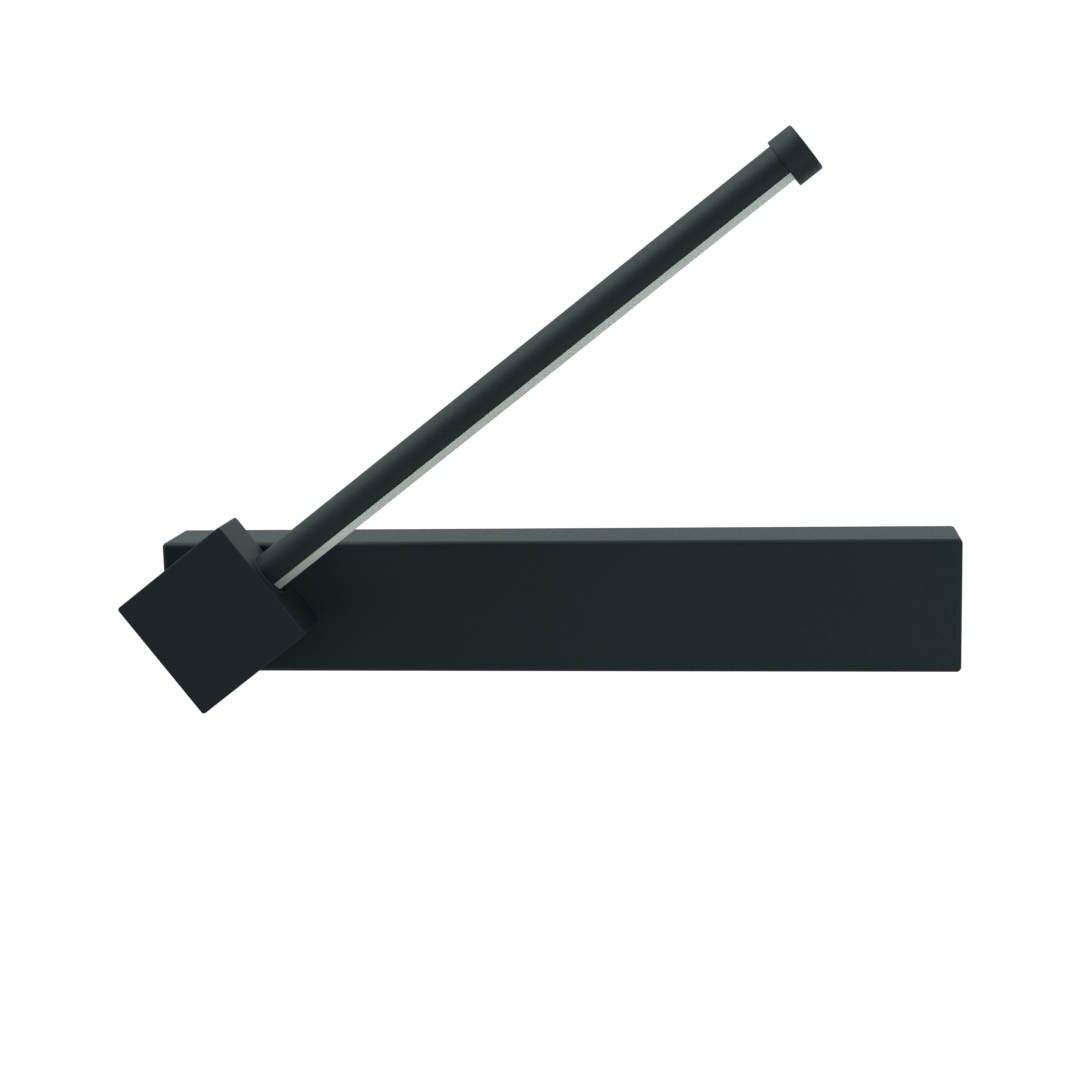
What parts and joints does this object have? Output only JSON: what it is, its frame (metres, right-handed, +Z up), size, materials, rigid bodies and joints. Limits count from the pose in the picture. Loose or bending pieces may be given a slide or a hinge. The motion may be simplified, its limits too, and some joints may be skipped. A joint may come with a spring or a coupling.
{
  "type": "swing-arm wall light",
  "caption": "Slim wall light: a long rectangular wall housing with a square pivot block that swings a round light tube with a flat diffuser and end cap.",
  "frame": {"origin": "on the wall plane, at the middle of the housing's outline", "axes": "+X to the right along the housing as seen from the room, +Y into the wall, +Z up"},
  "size_m": [0.3099, 0.056, 0.209],
  "materials": {
    "black_paint": "fine matt powder coat",
    "black_aluminium": "fine matt powder coat",
    "zinc_steel": "zinc plated",
    "steel": "turned",
    "spring_steel": "oil black",
    "black_nylon": "moulded",
    "white_nylon": "moulded",
    "white_plastic": "fine moulded texture",
    "opal": "frosted opal",
    "rubber": "matt",
    "black_anodised": "turned and black anodised",
    "green_board": "solder mask",
    "white_board": "white solder mask",
    "chip": "phosphor",
    "ferrite": "taped",
    "can": "sleeved",
    "brown_wire": "insulation",
    "blue_wire": "insulation",
    "earth_wire": "insulation",
    "black_wire": "insulation",
    "white_wire": "insulation",
    "brass": "plain"
  },
  "bodies": {
    "wall_box": {"housing": "black_paint", "housing_screws": "spring_steel", "wall_bracket": "zinc_steel", "cable_grommet": "rubber", "driver_base": "white_plastic", "driver_lid": "white_plastic", "driver_board": "green_board", "driver_transformer": "ferrite", "driver_capacitors": "can", "driver_studs": "steel", "driver_nuts": "zinc_steel", "terminal_block": "white_nylon", "terminal_screws": "brass", "terminal_fixings": "zinc_steel", "earth_screw": "zinc_steel", "earth_lug": "brass", "live_wire": "brown_wire", "neutral_wire": "blue_wire", "earth_wire": "earth_wire", "driver_lead": "white_wire", "pivot_plate": "zinc_steel", "pivot_bush": "white_nylon", "stop_pin": "steel"},
    "pivot_block": {"block_casting": "black_aluminium", "block_back_plate": "black_paint", "back_plate_screws": "spring_steel", "pivot_spindle": "steel", "friction_washer": "black_nylon", "stop_washer": "steel", "disc_springs": "spring_steel", "thrust_washer": "zinc_steel", "spindle_nut": "zinc_steel", "lock_nut": "zinc_steel", "pivot_lead": "white_wire", "tube_bush": "black_nylon", "roll_stop_screw": "spring_steel"},
    "light_tube": {"tube_journal": "black_anodised", "journal_ring": "spring_steel", "roll_o_ring": "rubber", "tube_profile": "black_aluminium", "diffuser": "opal", "led_board": "white_board", "led_chips": "chip", "tube_lead": "white_wire", "board_wires": "black_wire", "end_cap": "black_aluminium"}
  },
  "joints": [
    {"name": "arm_swing", "type": "hinge", "parent": "wall_box", "child": "pivot_block", "pos_m": [-0.125, 0, 0], "axis": [0, -1, 0], "range_deg": [-202.4, 127.6]},
    {"name": "tube_roll", "type": "hinge", "parent": "pivot_block", "child": "light_tube", "pos_m": [-0.125, -0.0435, 0], "axis": [-0.7944, 0, -0.6074], "range_deg": [-165, 165]}
  ]
}
